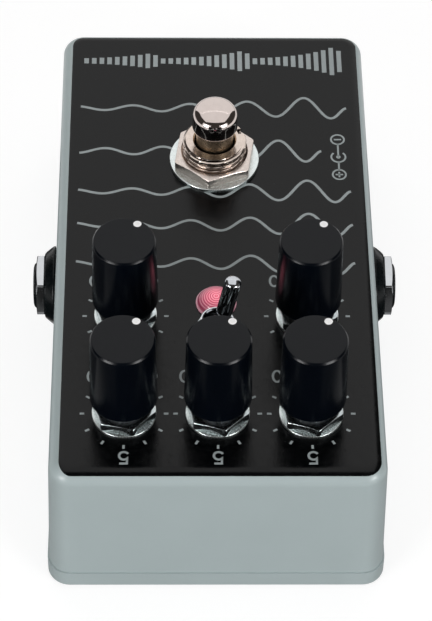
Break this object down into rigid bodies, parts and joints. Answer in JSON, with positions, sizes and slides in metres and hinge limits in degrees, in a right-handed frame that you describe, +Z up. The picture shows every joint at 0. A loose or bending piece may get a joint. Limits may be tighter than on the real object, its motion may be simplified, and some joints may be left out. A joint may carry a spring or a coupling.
{
  "type": "tape echo pedal",
  "caption": "Effects pedal in a die-cast box with turning knobs on pots, a toggle, a lit ringed lens, a sprung footswitch, two side jacks and a power inlet.",
  "frame": {"origin": "middle of the base's footprint, in the plane the base plate stands on", "axes": "+X to the player's right (input jack side), +Y away from the player along the box, +Z up out of the control panel"},
  "size_m": [0.068, 0.1124, 0.0513],
  "materials": {
    "body_paint": "satin grey-green paint over die-cast aluminium",
    "screw_steel": "blackened steel",
    "knob_plastic": "black, fine satin gloss",
    "dot_white": "white enamel",
    "shaft_metal": "turned",
    "pot_metal": "zinc plated",
    "inner_plastic": "black moulded",
    "tinned_pins": "tin plated",
    "washer_zinc": "bright zinc",
    "switch_nickel": "bright nickel, slightly warm",
    "bright_chrome": "polished",
    "switch_blue": "blue moulded",
    "switch_red": "red moulded",
    "lens_red": "clear red, lit from below",
    "lamp_red": "clear red epoxy",
    "socket_black": "black moulded",
    "spring_brass": "sprung contact strip",
    "board_green": "green solder mask",
    "ribbon_grey": "grey flat cable",
    "capacitor_blue": "printed sleeve, left plain",
    "capacitor_orange": "dipped",
    "resistor_black": "glazed chips"
  },
  "bodies": {
    "pedal": {"enclosure": "body_paint", "base_plate": "body_paint", "base_screws": "screw_steel", "pot_bushings": "pot_metal", "pot_housings": "inner_plastic", "board_headers": "inner_plastic", "delay_chip": "inner_plastic", "small_chips": "inner_plastic", "pot_pins": "tinned_pins", "footswitch_lugs": "tinned_pins", "toggle_lugs": "tinned_pins", "jack_pins": "tinned_pins", "dc_pins": "tinned_pins", "pot_washers": "washer_zinc", "footswitch_washer": "washer_zinc", "footswitch_lock_washer": "washer_zinc", "toggle_washer": "washer_zinc", "footswitch_bushing": "switch_nickel", "footswitch_nuts": "switch_nickel", "toggle_bushing": "bright_chrome", "toggle_nut": "bright_chrome", "pot_nuts": "bright_chrome", "jack_nuts": "bright_chrome", "dc_centre_pin": "bright_chrome", "footswitch_housing": "switch_blue", "toggle_housing": "switch_red", "led_lens": "lens_red", "led": "lamp_red", "input_jack": "socket_black", "output_jack": "socket_black", "jack_bezels": "socket_black", "dc_inlet": "socket_black", "jack_springs": "spring_brass", "main_board": "board_green", "jack_board": "board_green", "ribbon_cable": "ribbon_grey", "filter_capacitors": "capacitor_blue", "film_capacitors": "capacitor_orange", "chip_resistors": "resistor_black"},
    "turning_top_left": {"knob_top_left": "knob_plastic", "pointer_dot_top_left": "dot_white", "pot_shaft_top_left": "shaft_metal"},
    "turning_top_middle": {"knob_top_middle": "knob_plastic", "pointer_dot_top_middle": "dot_white", "pot_shaft_top_middle": "shaft_metal"},
    "turning_top_right": {"knob_top_right": "knob_plastic", "pointer_dot_top_right": "dot_white", "pot_shaft_top_right": "shaft_metal"},
    "turning_lower_left": {"knob_lower_left": "knob_plastic", "pointer_dot_lower_left": "dot_white", "pot_shaft_lower_left": "shaft_metal"},
    "turning_lower_right": {"knob_lower_right": "knob_plastic", "pointer_dot_lower_right": "dot_white", "pot_shaft_lower_right": "shaft_metal"},
    "plunger": {"footswitch_button": "switch_nickel"},
    "lever": {"toggle_lever": "bright_chrome"}
  },
  "joints": [
    {"name": "top_left_knob_turn", "type": "hinge", "parent": "pedal", "child": "turning_top_left", "pos_m": [-0.01635, 0.0412, 0.031], "axis": [0, 0, -1], "range_deg": [0, 300]},
    {"name": "top_middle_knob_turn", "type": "hinge", "parent": "pedal", "child": "turning_top_middle", "pos_m": [0, 0.0412, 0.031], "axis": [0, 0, -1], "range_deg": [0, 300]},
    {"name": "top_right_knob_turn", "type": "hinge", "parent": "pedal", "child": "turning_top_right", "pos_m": [0.01635, 0.0412, 0.031], "axis": [0, 0, -1], "range_deg": [0, 300]},
    {"name": "lower_left_knob_turn", "type": "hinge", "parent": "pedal", "child": "turning_lower_left", "pos_m": [-0.01635, 0.0188, 0.031], "axis": [0, 0, -1], "range_deg": [0, 300]},
    {"name": "lower_right_knob_turn", "type": "hinge", "parent": "pedal", "child": "turning_lower_right", "pos_m": [0.01635, 0.0188, 0.031], "axis": [0, 0, -1], "range_deg": [0, 300]},
    {"name": "footswitch_press", "type": "slide", "parent": "pedal", "child": "plunger", "axis": [0, 0, -1], "range_m": [0, 0.0027], "stiffness_N_per_m": 4000, "springref_m": -0.001},
    {"name": "toggle_throw", "type": "hinge", "parent": "pedal", "child": "lever", "pos_m": [0, 0.024, 0.0316], "axis": [0, 1, 0], "range_deg": [0, 21]}
  ]
}
